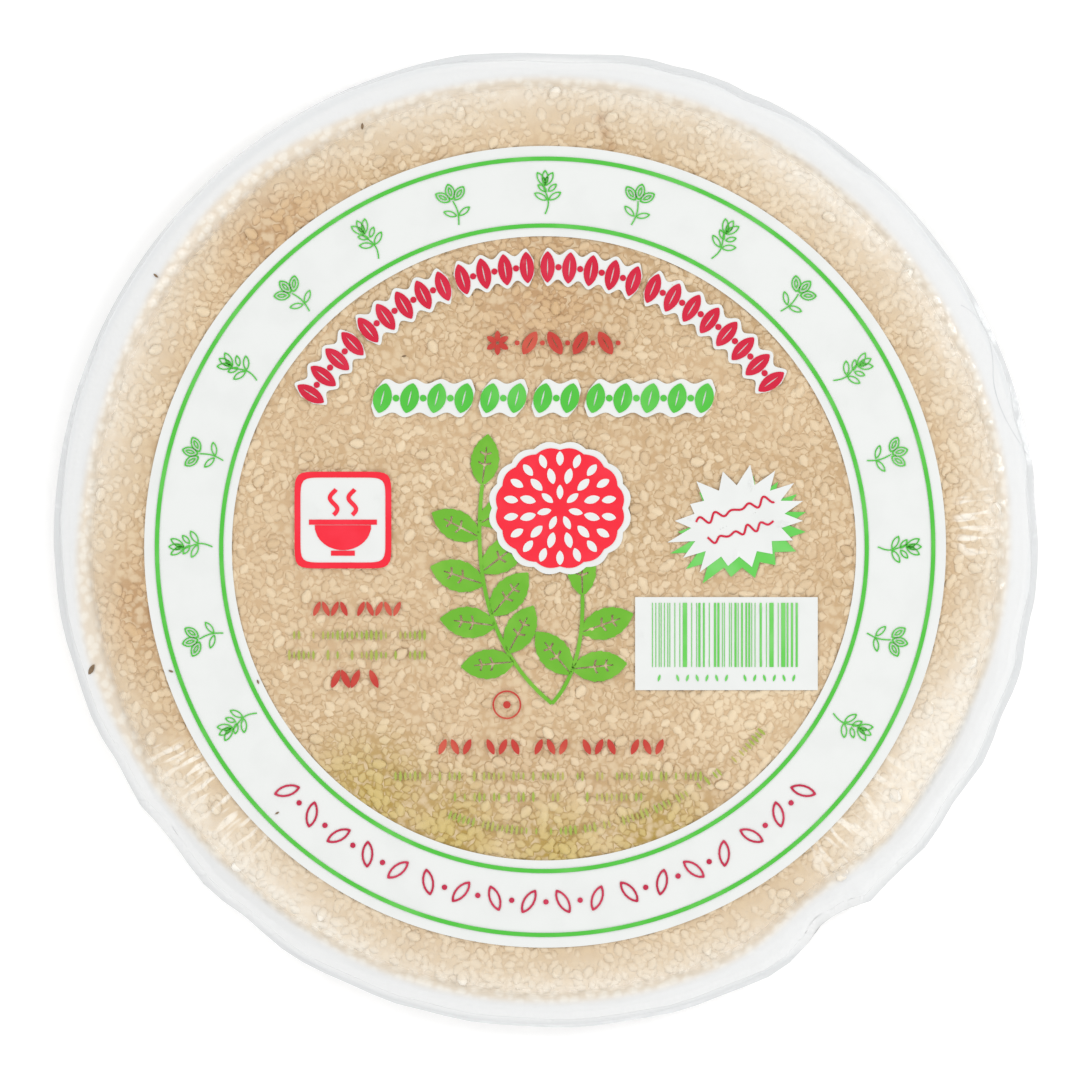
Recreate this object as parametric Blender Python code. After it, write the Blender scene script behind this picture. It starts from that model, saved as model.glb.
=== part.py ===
"""A round pack of dried rice papers with white sesame seed, sealed in clear shrink film.

The pack lies on its back with the printed face up. Its flat underside rests on z = 0, +Z is up, +Y points
to the top of the print, and the origin is the middle of the footprint. All sizes are in metres.

The sealed pack is one solid, out to its film: a stack that can't be opened without tearing the wrap. The
film is drawn tight across the flat faces, so the largest sesame seeds of the top sheet stand out under it
as small bumps. It is slack round the rim, where it puckers and ends in a narrow heat seal.
"""

import math
import random

import bmesh
import bpy
from mathutils import Matrix, Vector, noise

# Overall sizes
PAPER_RADIUS = 0.110  # the sheets inside are 22 cm across
PACK_RADIUS = 0.1166  # the slack film stands about 7 mm out from them
FACE_HEIGHT = 0.0175  # ten sheets, each wavy and about 1.5 mm thick with its seeds
UNDERSIDE_RADIUS = 0.104
SHOULDER_RADIUS = 0.097  # here the flat top starts to round off
CENTRE_SINK = 0.0003  # the film dips this much at the middle of the top

# The heat seal round the rim
SEAL_HEIGHT = 0.0075
SEAL_THICKNESS = 0.0007
SEAL_WIDTH = 0.0016

# The printed ring on the top film. It sits a little below the middle of the pack.
RING_OFFSET = Vector((-0.0004, -0.0013, 0.0))
RING_INNER = 0.0738
RING_OUTER = 0.0944
LINE_WIDTH = 0.0012
INNER_LINE = 0.0760
OUTER_LINE = 0.0914

# How finely the body is turned
SECTORS = 120
SHOULDER_STEPS = 6
LOWER_STEPS = 3
WINDOW_RADII = (0.025, 0.050)  # plain rows of points inside the printed ring

# The outline isn't a true circle: (direction in degrees, change of radius, half width in degrees)
OUTLINE_CHANGES = (
    (42, 0.0013, 35),
    (90, -0.0016, 9),  # flattened at the top of the print
    (125, 0.0022, 28),  # fuller at the upper left
    (165, 0.0008, 20),
    (215, -0.0014, 18),
    (260, -0.0014, 40),
    (307, -0.0034, 4),  # tucked in at the lower right
    (320, -0.0012, 17),
)
# Where the slack film puckers most: (direction in degrees, half width in degrees)
PUCKERED = ((5, 22), (318, 20), (222, 18), (60, 14))
PUCKER_COUNT = 30
PUCKER_DEPTH = 0.0011
CALM_SHARE = 0.25  # how deep the puckers are elsewhere round the rim
WAVE_LENGTH = 0.045  # the sheets aren't quite flat, and the tight film follows them
WAVE_DEPTH = 0.0004

# The seeds that stand out under the film
SEED_COUNT = 200  # spread over the whole top, before those under the printed ring are left out
SEED_REACH = 0.1065
SEED_LENGTH = 0.0036
SEED_WIDTH = 0.0023
SEED_RISE = 0.0006
SEED_DEPTH = 0.0016
SEED_TAPER = 0.35  # a sesame seed is a drop: its narrow end is this much narrower
SEED_JITTER = 0.0020
SEED_SIDES = 6
SEED_RINGS = 4
SEED_MARGIN = 0.0024  # clear of the printed ring
GOLDEN_ANGLE = math.pi * (3 - math.sqrt(5))
RANDOM_SEED = 22

SHARP_ANGLE = math.radians(50)

# Colours in linear light: (red, green, blue), roughness
PAPER_LOOK = ((0.66, 0.47, 0.28), 0.35)
SEED_LOOK = ((0.80, 0.63, 0.40), 0.40)
HAZE_LOOK = ((0.82, 0.81, 0.79), 0.25)
WHITE_LOOK = ((0.87, 0.89, 0.86), 0.30)
GREEN_LOOK = ((0.10, 0.55, 0.09), 0.30)


def clear_scene():
    """Starts from nothing, whatever the scene held."""
    for thing in list(bpy.data.objects):
        bpy.data.objects.remove(thing)


def material(name, look):
    """A Principled material with one colour."""
    colour, roughness = look
    made = bpy.data.materials.new(name)
    made.use_nodes = True
    shader = made.node_tree.nodes["Principled BSDF"]
    shader.inputs["Base Color"].default_value = (*colour, 1.0)
    shader.inputs["Roughness"].default_value = roughness
    shader.inputs["Coat Weight"].default_value = 0.5
    return made


def smooth_step(low, high, value):
    """0 below low, 1 above high, and an easy curve between."""
    share = min(1.0, max(0.0, (value - low) / (high - low)))
    return share * share * (3 - 2 * share)


def bell(angle, direction, half_width):
    """1 at a direction, falling to about a third at half_width degrees from it."""
    off = (math.degrees(angle) - direction + 180) % 360 - 180
    return math.exp(-((off / half_width) ** 2))


def quarter(start, end, steps):
    """Points of a quarter of an ellipse that leaves start level and meets end upright."""
    for step in range(1, steps):
        turn = 0.5 * math.pi * step / steps
        yield (
            start[0] + (end[0] - start[0]) * math.sin(turn),
            start[1] + (end[1] - start[1]) * (1 - math.cos(turn)),
        )


def turned_profile():
    """(radius, height) of the body's outline, from the middle of the underside to the middle of the top."""
    body_radius = PACK_RADIUS - SEAL_WIDTH
    below = (body_radius, SEAL_HEIGHT - SEAL_THICKNESS)
    above = (body_radius, SEAL_HEIGHT + SEAL_THICKNESS)
    half = 0.5 * SEAL_THICKNESS
    foot = (UNDERSIDE_RADIUS, 0.0)
    shoulder = (SHOULDER_RADIUS, FACE_HEIGHT)
    line = 0.5 * LINE_WIDTH
    ring = (
        RING_OUTER,
        OUTER_LINE + line,
        OUTER_LINE - line,
        INNER_LINE + line,
        INNER_LINE - line,
        RING_INNER,
    )
    face = (*ring, *sorted(WINDOW_RADII, reverse=True))
    return [
        (0.0, 0.0),
        foot,
        *quarter(foot, below, LOWER_STEPS),
        below,
        (PACK_RADIUS, SEAL_HEIGHT - half),
        (PACK_RADIUS, SEAL_HEIGHT + half),
        above,
        *reversed(list(quarter(shoulder, above, SHOULDER_STEPS))),
        shoulder,
        *((radius, FACE_HEIGHT) for radius in face),
        (0.0, FACE_HEIGHT - CENTRE_SINK),
    ]


def turn(mesh, profile):
    """Spins the profile round the Z axis into a closed body."""
    points = [mesh.verts.new((radius, 0.0, height)) for radius, height in profile]
    edges = [mesh.edges.new(pair) for pair in zip(points, points[1:])]
    bmesh.ops.spin(
        mesh,
        geom=points + edges,
        cent=(0.0, 0.0, 0.0),
        axis=(0.0, 0.0, 1.0),
        angle=2 * math.pi,
        steps=SECTORS,
        use_merge=True,
    )
    bmesh.ops.remove_doubles(mesh, verts=mesh.verts, dist=1e-6)
    bmesh.ops.recalc_face_normals(mesh, faces=mesh.faces)


def look_of(radius, height):
    """Which of the body's materials a face has: 0 paper under clear film, 1 hazy film, 2 white, 3 green."""
    if height < 0.98 * FACE_HEIGHT:
        return 1 if height > 0.0 and radius > PAPER_RADIUS - 0.004 else 0
    if min(abs(radius - INNER_LINE), abs(radius - OUTER_LINE)) < 0.5 * LINE_WIDTH:
        return 3
    return 2 if RING_INNER < radius < RING_OUTER else 0


def paint(mesh):
    """Gives each face its material while the body is still a true turned shape."""
    for face in mesh.faces:
        centre = face.calc_center_median()
        reach = max(corner.co.xy.length for corner in face.verts)
        inner = min(corner.co.xy.length for corner in face.verts)
        face.material_index = look_of(0.5 * (reach + inner), centre.z)


def pucker(angle):
    """How deep the film is drawn in at this direction, from 0 to 1."""
    strength = CALM_SHARE + sum(bell(angle, *place) for place in PUCKERED)
    around = Vector((math.cos(angle), math.sin(angle), 0.0))
    drift = 3.0 * noise.noise(4.0 * around)
    return min(1.0, strength) * (0.5 + 0.5 * math.sin(PUCKER_COUNT * angle + drift))


def shaped(point):
    """Where a point of the true turned body lies on the real pack."""
    radius = point.xy.length
    angle = math.atan2(point.y, point.x)
    outward = Vector((math.cos(angle), math.sin(angle), 0.0))
    slack = smooth_step(RING_OUTER, PACK_RADIUS, radius)
    above_seal = smooth_step(SEAL_HEIGHT + SEAL_THICKNESS, FACE_HEIGHT, point.z)
    change = sum(size * bell(angle, place, width) for place, size, width in OUTLINE_CHANGES)
    moved = point + outward * slack * (change - PUCKER_DEPTH * pucker(angle))
    moved += RING_OFFSET * above_seal * (1 - slack)
    wave = 0.5 + 0.5 * noise.noise(Vector((moved.x, moved.y, 0.0)) / WAVE_LENGTH)
    moved.z -= above_seal * (WAVE_DEPTH * wave + PUCKER_DEPTH * slack * pucker(angle))
    return moved


def body():
    """The sealed pack before its seeds stand out."""
    mesh = bmesh.new()
    turn(mesh, turned_profile())
    paint(mesh)
    for corner in mesh.verts:
        corner.co = shaped(corner.co.copy())
    data = bpy.data.meshes.new("sealed_pack")
    mesh.to_mesh(data)
    mesh.free()
    for name, look in (
        ("paper_under_film", PAPER_LOOK),
        ("hazy_film", HAZE_LOOK),
        ("white_print", WHITE_LOOK),
        ("green_print", GREEN_LOOK),
    ):
        data.materials.append(material(name, look))
    pack = bpy.data.objects.new("sealed_pack", data)
    bpy.context.collection.objects.link(pack)
    return pack


def seed_mesh():
    """One sesame seed, a flat drop along X with its middle at the origin."""
    mesh = bmesh.new()
    bmesh.ops.create_uvsphere(mesh, u_segments=SEED_SIDES, v_segments=SEED_RINGS, radius=0.5)
    on_its_side = Matrix.Rotation(0.5 * math.pi, 4, "Y")
    bmesh.ops.transform(mesh, matrix=on_its_side, verts=mesh.verts)
    for corner in mesh.verts:
        narrowing = 1 - SEED_TAPER * (corner.co.x + 0.5)
        corner.co.x *= SEED_LENGTH
        corner.co.y *= SEED_WIDTH * narrowing
        corner.co.z *= SEED_DEPTH
    data = bpy.data.meshes.new("sesame_seed")
    mesh.to_mesh(data)
    mesh.free()
    data.materials.append(material("sesame", SEED_LOOK))
    return data


def seed_places(draw):
    """Even places over the clear film, by a sunflower spiral: none lies under the printed ring."""
    for number in range(SEED_COUNT):
        radius = SEED_REACH * math.sqrt((number + 0.5) / SEED_COUNT)
        radius += draw.uniform(-0.5, 0.5) * SEED_JITTER
        angle = number * GOLDEN_ANGLE
        place = Vector((radius * math.cos(angle), radius * math.sin(angle), 0.0))
        from_ring = (place - RING_OFFSET).length
        if from_ring < RING_INNER - SEED_MARGIN or from_ring > RING_OUTER + SEED_MARGIN:
            yield place


def add_seeds(pack):
    """Fuses the seeds to the pack, each half sunk in its top and lying along it."""
    draw = random.Random(RANDOM_SEED)
    seed = seed_mesh()
    seeds = bpy.data.collections.new("seeds")
    bpy.context.scene.collection.children.link(seeds)
    bpy.context.view_layer.update()
    for place in seed_places(draw):
        above = place + Vector((0.0, 0.0, 2 * FACE_HEIGHT))
        _, surface, normal, _ = pack.ray_cast(above, (0.0, 0.0, -1.0))
        middle = surface + normal * (SEED_RISE - 0.5 * SEED_DEPTH)
        lean = normal.to_track_quat("Z", "X").to_matrix().to_4x4()
        spin = Matrix.Rotation(draw.uniform(0, 2 * math.pi), 4, "Z")
        bump = bpy.data.objects.new("seed", seed)
        bump.matrix_world = Matrix.Translation(middle) @ lean @ spin
        seeds.objects.link(bump)
    fuse = pack.modifiers.new("fuse_seeds", "BOOLEAN")
    fuse.operation = "UNION"
    fuse.operand_type = "COLLECTION"
    fuse.collection = seeds
    fuse.solver = "EXACT"
    fuse.material_mode = "TRANSFER"
    bpy.context.view_layer.objects.active = pack
    bpy.ops.object.modifier_apply(modifier=fuse.name)
    for bump in list(seeds.objects):
        bpy.data.objects.remove(bump)
    bpy.data.collections.remove(seeds)


def stand_on_origin(pack):
    """Brings the middle of the footprint to the origin, since the outline isn't a true circle."""
    corners = [Vector(corner) for corner in pack.bound_box]
    low = Vector(map(min, zip(*corners)))
    high = Vector(map(max, zip(*corners)))
    middle = 0.5 * (low + high)
    pack.data.transform(Matrix.Translation((-middle.x, -middle.y, -low.z)))


def main():
    clear_scene()
    pack = body()
    add_seeds(pack)
    bpy.context.view_layer.update()
    stand_on_origin(pack)
    pack.data.shade_smooth()
    pack.data.set_sharp_from_angle(angle=SHARP_ANGLE)


main()
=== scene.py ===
# %% [markdown]
# # A round pack of sesame rice papers, sealed in clear film
#
# The real object is a stack of dried rice papers, 22 cm across. Each is a thin wavy disc, full of white
# sesame seed. The stack is drawn into clear shrink film, and the marks are printed on the film's face. The
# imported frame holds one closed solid, the pack's outer form. This script replaces it with what the eye sees:
# the film itself, the sheets and seeds under it, and the print on it. Everything is in metres, face up.

# %% Load the frame
import contextlib
import functools
import math
import random

import bmesh
import bpy
from mathutils import Matrix, Vector, noise


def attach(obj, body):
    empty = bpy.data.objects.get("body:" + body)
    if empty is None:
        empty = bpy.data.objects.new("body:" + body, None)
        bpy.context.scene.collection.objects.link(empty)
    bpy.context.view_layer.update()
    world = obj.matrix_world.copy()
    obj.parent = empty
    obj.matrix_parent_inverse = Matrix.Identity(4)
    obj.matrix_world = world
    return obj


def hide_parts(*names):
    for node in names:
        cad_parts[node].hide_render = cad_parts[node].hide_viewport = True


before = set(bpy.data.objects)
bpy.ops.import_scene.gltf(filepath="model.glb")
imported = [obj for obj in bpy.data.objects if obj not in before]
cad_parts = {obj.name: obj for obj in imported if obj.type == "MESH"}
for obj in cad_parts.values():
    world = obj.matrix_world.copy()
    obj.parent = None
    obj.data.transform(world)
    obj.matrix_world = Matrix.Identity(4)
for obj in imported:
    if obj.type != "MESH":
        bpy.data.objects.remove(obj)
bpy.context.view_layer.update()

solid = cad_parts["sealed_pack"]

# %% [markdown]
# ## The camera
#
# The photograph looks straight at the face from far away, so the camera hangs high above the pack and has a
# long lens. The lens follows from the width of the view and the camera's height. A short lens close by would
# show more of the sides than the photograph does.

# %% Hang the camera over the face
FACE = 0.0175  # the height of the tight face
VIEW_WIDTH = 0.2543  # the photograph spans this much at the face
VIEW_SHIFT = -0.0014  # the photograph's middle lies this far to the left of the pack's
CAMERA_HEIGHT = 1.6
SENSOR = 0.036

camera_data = bpy.data.cameras.new("camera")
camera_data.sensor_width = 1000 * SENSOR
camera_data.lens = 1000 * SENSOR * CAMERA_HEIGHT / VIEW_WIDTH
camera = bpy.data.objects.new("camera", camera_data)
camera.location = (VIEW_SHIFT, 0, FACE + CAMERA_HEIGHT)
bpy.context.scene.collection.objects.link(camera)
bpy.context.scene.camera = camera
print("lens in millimetres:", round(camera_data.lens))

# %% [markdown]
# ## Colours and simple materials
#
# Colours are noted as they look in a picture, from 0 to 255, and turned into the linear values that the
# shaders expect. The Standard view shows them unchanged, which suits a printed pack on a white ground.

# %% Helpers for colours and node trees
bpy.context.scene.view_settings.view_transform = "Standard"


def seen(red, green, blue):
    """A colour as it looks in a picture, as the linear value with alpha that a shader expects."""
    parts = [part / 255 for part in (red, green, blue)]
    return [part / 12.92 if part <= 0.04045 else ((part + 0.055) / 1.055) ** 2.4 for part in parts] + [1.0]


def add_node(tree, kind, links=(), **settings):
    """A new node. Links pair an input's name or number with another node's output or with a value."""
    node = tree.nodes.new(kind)
    for name, value in settings.items():
        setattr(node, name, value)
    for socket, value in dict(links).items():
        if isinstance(value, bpy.types.NodeSocket):
            tree.links.new(value, node.inputs[socket])
        else:
            node.inputs[socket].default_value = value
    return node


class Recipe:
    """A material's node tree, written from left to right. Each call adds nodes and gives an output."""

    def __init__(self, name, roughness, **constants):
        self.material = bpy.data.materials.new(name)
        self.material.use_nodes = True
        self.tree = self.material.node_tree
        self.shader = self.tree.nodes["Principled BSDF"]
        self.shader.inputs["Roughness"].default_value = roughness
        for socket, value in constants.items():
            self.shader.inputs[socket.replace("_", " ")].default_value = value
        self.place = self.add("ShaderNodeTexCoord").outputs["Object"]

    def add(self, kind, links=(), **settings):
        return add_node(self.tree, kind, links, **settings)

    def vectors(self, operation, *inputs):
        """The node of a sum with vectors."""
        return self.add("ShaderNodeVectorMath", dict(enumerate(inputs)), operation=operation)

    def math(self, operation, first, second):
        return self.add("ShaderNodeMath", {0: first, 1: second}, operation=operation).outputs[0]

    def plus(self, first, second):
        return self.math("ADD", first, second)

    def times(self, first, second):
        return self.math("MULTIPLY", first, second)

    def ramp(self, value, low, high, start=0.0, end=1.0):
        """Start below low, end above high, and a smooth change between."""
        links = {"Value": value, "From Min": low, "From Max": high, "To Min": start, "To Max": end}
        return self.add("ShaderNodeMapRange", links, interpolation_type="SMOOTHSTEP").outputs[0]

    def noise(self, size, detail=2.0, place=None):
        """Cloudy noise with patches about as large as size. Seen from above, two dimensions are enough."""
        links = {"Vector": self.place if place is None else place, "Scale": 1 / size, "Detail": detail}
        return self.add("ShaderNodeTexNoise", links, noise_dimensions="2D").outputs["Fac"]

    def cells(self, size):
        """The distance to the nearest of scattered points that lie about size apart."""
        links = {"Vector": self.place, "Scale": 1 / size}
        return self.add("ShaderNodeTexVoronoi", links, voronoi_dimensions="2D").outputs["Distance"]

    def mix(self, share, first, second):
        """A mix of two colours."""
        return self.add("ShaderNodeMix", {0: share, 6: first, 7: second}, data_type="RGBA").outputs[2]

    def attribute(self, name):
        """A number that the mesh carries at its points."""
        return self.add("ShaderNodeAttribute", attribute_name=name).outputs["Fac"]

    @functools.cached_property
    def flat(self):
        """The place on the face, without its height."""
        return self.vectors("MULTIPLY", self.place, (1, 1, 0)).outputs[0]

    def apart(self, x, y):
        """The distance from an upright line through a point of the face."""
        return self.vectors("DISTANCE", self.flat, (x, y, 0)).outputs["Value"]

    def near(self, *places):
        """1 over any of some points of the face, and 0 beyond their reach. A place is x, y and a reach."""
        nearness = 0.0
        for x, y, reach in places:
            nearness = self.math("MAXIMUM", nearness, self.ramp(self.apart(x, y), 0.0, reach, 1.0, 0.0))
        return nearness

    def bump(self, height, distance, strength=1.0):
        """The surface direction of a height from 0 to 1, drawn out to a distance."""
        links = {"Height": height, "Distance": distance, "Strength": strength}
        return self.add("ShaderNodeBump", links).outputs[0]

    def finish(self, **inputs):
        """Links the outputs to the shader's sockets and gives the material."""
        for socket, value in inputs.items():
            self.tree.links.new(value, self.shader.inputs[socket.replace("_", " ")])
        return self.material


# %% [markdown]
# ## The studio
#
# A pale floor and large soft lights, as for a product picture. The key light stands at the right, where the
# photograph's film glints, and a weaker one fills from the left. Large lights give soft edges to every glint.
# The floor glows a little, as a light table does, because the photograph shows hardly any shadow on it.

# %% Floor, sky and lights
def soft_light(name, place, width, power):
    """A square area light that looks at the pack."""
    data = bpy.data.lights.new(name, "AREA")
    data.size = width
    data.energy = power
    lamp = bpy.data.objects.new(name, data)
    lamp.location = place
    lamp.rotation_euler = (-Vector(place)).to_track_quat("-Z", "Y").to_euler()
    bpy.context.scene.collection.objects.link(lamp)


soft_light("key_light", (0.70, 0.25, 0.85), 0.30, 2.0)
soft_light("fill_light", (-0.70, 0.35, 0.90), 0.40, 1.4)
soft_light("front_light", (0.10, -0.80, 0.85), 0.40, 1.2)

world = bpy.data.worlds.new("sky")
world.use_nodes = True
sky = world.node_tree.nodes["Background"]
sky.inputs["Color"].default_value = (1, 1, 1, 1)
sky.inputs["Strength"].default_value = 0.85
bpy.context.scene.world = world

FLOOR_HEIGHT = -0.0001  # just clear of the film, whose underside is flat too
FLOOR_GLOW = 0.15
bpy.ops.object.select_all(action="DESELECT")
bpy.ops.mesh.primitive_plane_add(size=6, location=(0, 0, FLOOR_HEIGHT))
floor = bpy.context.object
floor.name = "floor"
floor_look = Recipe("floor_paper", 0.9)
floor_look.shader.inputs["Emission Color"].default_value = (1, 1, 1, 1)
floor_look.shader.inputs["Emission Strength"].default_value = FLOOR_GLOW
floor_tone = floor_look.mix(floor_look.noise(0.4), seen(251, 251, 251), seen(253, 253, 253))
floor.data.materials.append(floor_look.finish(Base_Color=floor_tone))
print("the floor glows with a strength of", FLOOR_GLOW)

# %% [markdown]
# ## Working by hand in code
#
# Every piece starts as a primitive and is shaped in edit mode, as one would by hand. The helpers below open
# and close edit mode, pick parts by where they are, and turn a profile: a circle is extruded ring by ring,
# and each new ring is resized and lifted. That gives clean rows of quads, which a boolean never does.
# Angles are in radians, apart from those that a name or a note gives in degrees.

# %% Helpers for places
def spot(x, y):
    """A point of the flat drawing."""
    return Vector((x, y, 0.0))


def towards(angle):
    """A step of length 1 in a direction."""
    return spot(math.cos(angle), math.sin(angle))


def bearing(place):
    """The direction in which a place lies from the middle."""
    return math.atan2(place.y, place.x)


# %% Helpers for modelling
def only(*pieces):
    """Makes some pieces the only selected ones, and the first of them active."""
    bpy.ops.object.select_all(action="DESELECT")
    for piece in pieces:
        piece.select_set(True)
    bpy.context.view_layer.objects.active = pieces[0]


@contextlib.contextmanager
def editing(piece, kind="VERT"):
    """Edit mode with nothing picked. Gives a function that picks elements by a test."""
    only(piece)
    bpy.ops.object.mode_set(mode="EDIT")
    bpy.ops.mesh.select_mode(type=kind)
    bpy.ops.mesh.select_all(action="DESELECT")

    def pick(test):
        mesh = bmesh.from_edit_mesh(piece.data)
        parts = {"VERT": mesh.verts, "EDGE": mesh.edges, "FACE": mesh.faces}[kind]
        for part in parts:
            part.select_set(test(part))
        mesh.select_flush_mode()
        bmesh.update_edit_mesh(piece.data)

    yield pick
    bpy.ops.object.mode_set(mode="OBJECT")


def apply_modifier(piece, kind, **settings):
    """Adds a modifier and applies it at once."""
    only(piece)
    modifier = piece.modifiers.new(kind.lower(), kind)
    for name, value in settings.items():
        setattr(modifier, name, value)
    bpy.ops.object.modifier_apply(modifier=modifier.name)


def settle(piece, name):
    """Names a piece and moves its place into its mesh."""
    piece.name = name
    piece.data.name = name
    only(piece)
    bpy.ops.object.transform_apply(location=True, rotation=True, scale=True)
    return piece


def join(pieces, name):
    """Joins pieces into one."""
    only(*pieces)
    bpy.ops.object.join()
    return settle(bpy.context.object, name)


def smooth(piece, degrees):
    """Shades a piece smooth, apart from edges sharper than an angle."""
    only(piece)
    bpy.ops.object.shade_smooth_by_angle(angle=math.radians(degrees))


def put_in_order(piece):
    """Numbers a piece's points and faces by their places, the upper faces first. Edit tools leave the
    numbers to chance, and a scatter heeds them: a seed drawn later gives way to one drawn before it."""
    mesh = piece.data
    points = [tuple(corner.co) for corner in mesh.vertices]
    order = sorted(range(len(points)), key=lambda number: [round(part, 6) for part in points[number]])
    rank = {number: place for place, number in enumerate(order)}
    faces = []
    for face in mesh.polygons:
        corners = [rank[number] for number in face.vertices]
        first = corners.index(min(corners))
        faces.append((face.normal.z < 0.5, corners[first:] + corners[:first]))
    faces.sort()
    mesh.clear_geometry()
    mesh.from_pydata([points[number] for number in order], [], [corners for _, corners in faces])


def hand_in(piece, slot):
    """Lets a finished piece ride on the pack. The slot, which would name its finish, is not used."""
    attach(piece, "root")
    print(piece.name, len(piece.data.polygons), "faces")


# %% Helpers for shapes
def turned(name, profile, sectors):
    """An open shell through (radius, height) rings, the first of them a plain circle."""
    start_radius, start_height = profile[0]
    bpy.ops.object.select_all(action="DESELECT")
    bpy.ops.mesh.primitive_circle_add(vertices=sectors, radius=start_radius, location=(0, 0, start_height))
    piece = settle(bpy.context.object, name)
    with editing(piece, "EDGE"):
        bpy.ops.mesh.select_all(action="SELECT")
        for (radius, height), (next_radius, next_height) in zip(profile, profile[1:]):
            lift = {"value": (0, 0, next_height - height)}
            growth = next_radius / radius
            bpy.ops.mesh.extrude_edges_move(TRANSFORM_OT_translate=lift)
            bpy.ops.transform.resize(value=(growth, growth, 1), center_override=(0, 0, 0))
    return piece


def copies(mark, places):
    """Copies of a mark, each with its own mesh, at places of a point, a turn and a size. The mark goes."""
    made = []
    for point, turn, size in places:
        copy = mark.copy()
        copy.data = mark.data.copy()
        rotation = Matrix.Rotation(turn, 3, "Z")
        copy.matrix_world = Matrix.LocRotScale(point, rotation, Vector((size, size, size)))
        bpy.context.scene.collection.objects.link(copy)
        made.append(copy)
    bpy.data.objects.remove(mark)
    return made


def fill_hole(piece, radius, height, span):
    """Fills a round opening with a grid of quads. The opening is found by its radius and height."""
    near = 0.0002

    def on_rim(corner):
        return abs(corner.co.xy.length - radius) < near and abs(corner.co.z - height) < near

    with editing(piece, "EDGE") as pick:
        pick(lambda edge: edge.is_boundary and all(on_rim(corner) for corner in edge.verts))
        bpy.ops.mesh.fill_grid(span=span)


# %% [markdown]
# ## The film
#
# Shrink film is drawn tight over the flat faces and stays slack round the rim, where it meets in a seal.
# Its form is the frame's solid. A copy of that mesh would do for the form, but its long triangles break up
# every glint, so a new shell of even quads is turned by hand and then laid on the solid with a Shrinkwrap.

# %% Turn the shell and lay it on the solid
UNDERSIDE_RADIUS = 0.104
SHOULDER_RADIUS = 0.097
BODY_RADIUS = 0.1150
SEAL_RADIUS = 0.1166
SEAL_HEIGHT = 0.0075
SEAL_THICKNESS = 0.0007
FILM_SECTORS = 360
GRID_RADIUS = 0.090  # inside this radius both faces are plain grids
UNDERSIDE_RINGS = (GRID_RADIUS, 0.097)
FACE_RINGS = (0.0945, 0.0922, GRID_RADIUS)
LOWER_STEPS = 7
UPPER_STEPS = 14
FINER_ABOVE = 0.0085  # the part that shows has quads of half the size


def quarter(start, end, steps):
    """Points of a quarter ellipse that leaves start level and meets end upright, without start."""
    for step in range(1, steps + 1):
        turn = 0.5 * math.pi * step / steps
        yield (
            start[0] + (end[0] - start[0]) * math.sin(turn),
            start[1] + (end[1] - start[1]) * (1 - math.cos(turn)),
        )


foot = (UNDERSIDE_RADIUS, 0.0)
shoulder = (SHOULDER_RADIUS, FACE)
below_seal = (BODY_RADIUS, SEAL_HEIGHT - SEAL_THICKNESS)
above_seal = (BODY_RADIUS, SEAL_HEIGHT + SEAL_THICKNESS)
film_profile = [
    *((radius, 0.0) for radius in UNDERSIDE_RINGS),
    foot,
    *quarter(foot, below_seal, LOWER_STEPS),
    (SEAL_RADIUS, SEAL_HEIGHT - 0.5 * SEAL_THICKNESS),
    (SEAL_RADIUS, SEAL_HEIGHT + 0.5 * SEAL_THICKNESS),
    *reversed(list(quarter(shoulder, above_seal, UPPER_STEPS))),
    shoulder,
    *((radius, FACE) for radius in FACE_RINGS),
]
film = turned("film", film_profile, FILM_SECTORS)
fill_hole(film, GRID_RADIUS, 0.0, FILM_SECTORS // 4)
fill_hole(film, GRID_RADIUS, FACE, FILM_SECTORS // 4)
with editing(film, "FACE") as pick:
    pick(lambda face: face.calc_center_median().z > FINER_ABOVE)
    bpy.ops.mesh.subdivide(number_cuts=1)
    bpy.ops.mesh.select_all(action="SELECT")
    bpy.ops.mesh.normals_make_consistent(inside=False)
apply_modifier(film, "SHRINKWRAP", target=solid, wrap_method="NEAREST_SURFACEPOINT")
print("rings in the profile:", len(film_profile))

# %% [markdown]
# The slack film has a life of its own: shallow waves run across the rim, and in the crumpled stretches sharp
# creases cross them. Both are worked out by noise from the direction and the distance to the middle. A cloth
# simulation could pucker the film too, but it wouldn't keep to the solid's form. Moving the points by a rule
# does, and it leaves the flat underside alone.

# %% Crinkle the slack rim
SLACK_START = 0.096
SLACK_FULL = 0.108
TAUT_START = 0.1105  # from here out the seal draws the film tight again
TAUT_FULL = 0.1145
WAVE_DEPTH = 0.0005
WAVES_ROUND = 9  # a wave or a crease is about as long as the radius over this
WAVE_WIDTH = 0.025
CREASE_HEIGHT = 0.0004
CREASES_ROUND = 17
CREASE_SPACE = 0.006
CRUMPLED = ((5, 20), (50, 14), (218, 18), (318, 22))  # directions and widths in degrees


def smooth_step(low, high, value):
    """0 below low, 1 above high, and an easy curve between."""
    share = min(1.0, max(0.0, (value - low) / (high - low)))
    return share * share * (3 - 2 * share)


def bell(angle, middle, width):
    """1 in the middle direction and about 0 beyond the width. Both of these are in degrees."""
    apart = (math.degrees(angle) - middle + 180) % 360 - 180
    return math.exp(-((apart / width) ** 2))


def crumple(place):
    """How crumpled the film is in a place's direction, from 0 to 1."""
    return min(1.0, sum(bell(bearing(place), middle, width) for middle, width in CRUMPLED))


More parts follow.
